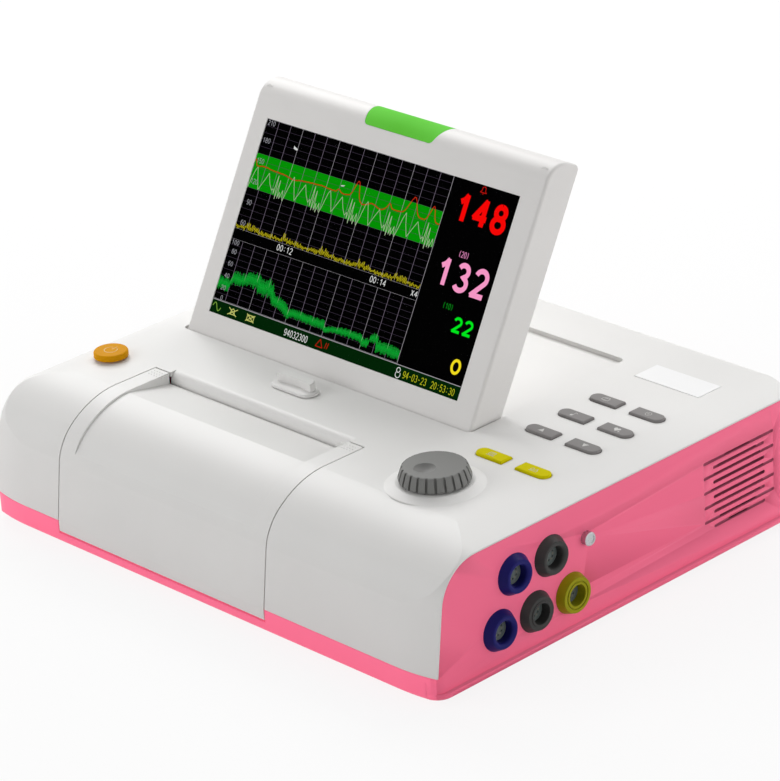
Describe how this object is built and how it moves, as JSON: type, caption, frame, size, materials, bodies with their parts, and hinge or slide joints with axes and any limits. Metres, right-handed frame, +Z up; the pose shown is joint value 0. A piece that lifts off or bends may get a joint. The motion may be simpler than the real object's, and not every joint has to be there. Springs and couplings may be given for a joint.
{
  "type": "fetal doppler monitor",
  "caption": "Desktop fetal monitor: wide low two-part housing, folding screen, paper recorder behind a curved front door, control knob, press keys and side transducer sockets.",
  "frame": {"origin": "on the resting plane, below the centre of the housing", "axes": "+Z up, the recorder door faces -Y, the sockets are on +X"},
  "size_m": [0.3153, 0.255, 0.1854],
  "materials": {
    "shell_white": "fine satin moulded",
    "shell_pink": "fine satin moulded",
    "feet": "matt",
    "steel": "satin",
    "zinc_sheet": "plated sheet",
    "badge": "satin",
    "glass": "polished",
    "lcd": "smooth",
    "board": "solder mask",
    "alarm": "translucent gloss",
    "tray": "moulded",
    "paper": "uncoated",
    "roller": "ground",
    "head": "glazed strip",
    "dark": "moulded",
    "knob": "satin",
    "orange": "satin gloss",
    "key_yellow": "satin",
    "key_grey": "satin",
    "mat": "soft",
    "latch": "satin",
    "ring_blue": "satin gloss",
    "ring_grey": "satin gloss",
    "ring_olive": "satin gloss",
    "battery": "shrink film"
  },
  "bodies": {
    "base": {"top_housing": "shell_white", "bottom_housing": "shell_pink", "rubber_feet": "feet", "housing_screws": "steel", "hinge_pins": "steel", "socket_nuts": "steel", "earth_stud": "steel", "printer_frame": "zinc_sheet", "power_supply": "zinc_sheet", "stepper_motor": "zinc_sheet", "network_port": "zinc_sheet", "hinge_mounts": "zinc_sheet", "badge_plate": "badge", "main_board": "board", "control_board": "board", "paper_tray": "tray", "paper_stack": "paper", "print_head": "head", "encoder_body": "dark", "power_switch": "dark", "mains_inlet": "dark", "socket_board": "dark", "speaker": "dark", "dome_mat": "mat", "ultrasound_socket_1": "ring_blue", "ultrasound_socket_2": "ring_blue", "toco_socket": "ring_grey", "stimulator_socket": "ring_grey", "marker_socket": "ring_olive", "battery_pack": "battery"},
    "screen": {"screen_housing": "shell_white", "screen_back_cover": "shell_white", "screen_screws": "steel", "screen_glass": "glass", "lcd_panel": "lcd", "screen_board": "board", "alarm_light": "alarm"},
    "door": {"paper_door": "shell_white"},
    "roller": {"platen_roller": "roller"},
    "spindle": {"encoder_spindle": "steel"},
    "knob": {"control_knob": "knob"},
    "power": {"power_button": "orange"},
    "latch": {"screen_latch": "latch"},
    "key_1": {"key_1": "key_yellow"},
    "key_2": {"key_2": "key_grey"},
    "key_3": {"key_3": "key_grey"},
    "key_4": {"key_4": "key_grey"},
    "key_5": {"key_5": "key_yellow"},
    "key_6": {"key_6": "key_grey"},
    "key_7": {"key_7": "key_grey"},
    "key_8": {"key_8": "key_grey"}
  },
  "joints": [
    {"name": "screen_fold", "type": "hinge", "parent": "base", "child": "screen", "pos_m": [-0.03, 0.00708, 0.0726], "axis": [-1, 0, 0], "range_deg": [0, 59.5]},
    {"name": "door_tilt", "type": "hinge", "parent": "base", "child": "door", "pos_m": [-0.0304, -0.1243, 0.0112], "axis": [1, 0, 0], "range_deg": [0, 80]},
    {"name": "roller_turn", "type": "hinge", "parent": "door", "child": "roller", "pos_m": [-0.0304, -0.0625, 0.0565], "axis": [1, 0, 0], "continuous": true},
    {"name": "knob_push", "type": "slide", "parent": "base", "child": "spindle", "axis": [0, 0, -1], "range_m": [0, 0.0005], "stiffness_N_per_m": 4000, "springref_m": -0.0005},
    {"name": "knob_turn", "type": "hinge", "parent": "spindle", "child": "knob", "pos_m": [0.098, -0.0636, 0.0747], "axis": [0, 0, 1], "continuous": true},
    {"name": "power_press", "type": "slide", "parent": "base", "child": "power", "axis": [0, 0, -1], "range_m": [0, 0.0007], "stiffness_N_per_m": 2000, "springref_m": -0.0005},
    {"name": "latch_slide", "type": "slide", "parent": "base", "child": "latch", "axis": [0, -1, 0], "range_m": [0, 0.003], "stiffness_N_per_m": 400, "springref_m": -0.001},
    {"name": "key_1_press", "type": "slide", "parent": "base", "child": "key_1", "axis": [0, 0, -1], "range_m": [0, 0.0008], "stiffness_N_per_m": 1500, "springref_m": -0.0005},
    {"name": "key_2_press", "type": "slide", "parent": "base", "child": "key_2", "axis": [0, 0, -1], "range_m": [0, 0.0008], "stiffness_N_per_m": 1500, "springref_m": -0.0005},
    {"name": "key_3_press", "type": "slide", "parent": "base", "child": "key_3", "axis": [0, 0, -1], "range_m": [0, 0.0008], "stiffness_N_per_m": 1500, "springref_m": -0.0005},
    {"name": "key_4_press", "type": "slide", "parent": "base", "child": "key_4", "axis": [0, 0, -1], "range_m": [0, 0.0008], "stiffness_N_per_m": 1500, "springref_m": -0.0005},
    {"name": "key_5_press", "type": "slide", "parent": "base", "child": "key_5", "axis": [0, 0, -1], "range_m": [0, 0.0008], "stiffness_N_per_m": 1500, "springref_m": -0.0005},
    {"name": "key_6_press", "type": "slide", "parent": "base", "child": "key_6", "axis": [0, 0, -1], "range_m": [0, 0.0008], "stiffness_N_per_m": 1500, "springref_m": -0.0005},
    {"name": "key_7_press", "type": "slide", "parent": "base", "child": "key_7", "axis": [0, 0, -1], "range_m": [0, 0.0008], "stiffness_N_per_m": 1500, "springref_m": -0.0005},
    {"name": "key_8_press", "type": "slide", "parent": "base", "child": "key_8", "axis": [0, 0, -1], "range_m": [0, 0.0008], "stiffness_N_per_m": 1500, "springref_m": -0.0005}
  ]
}
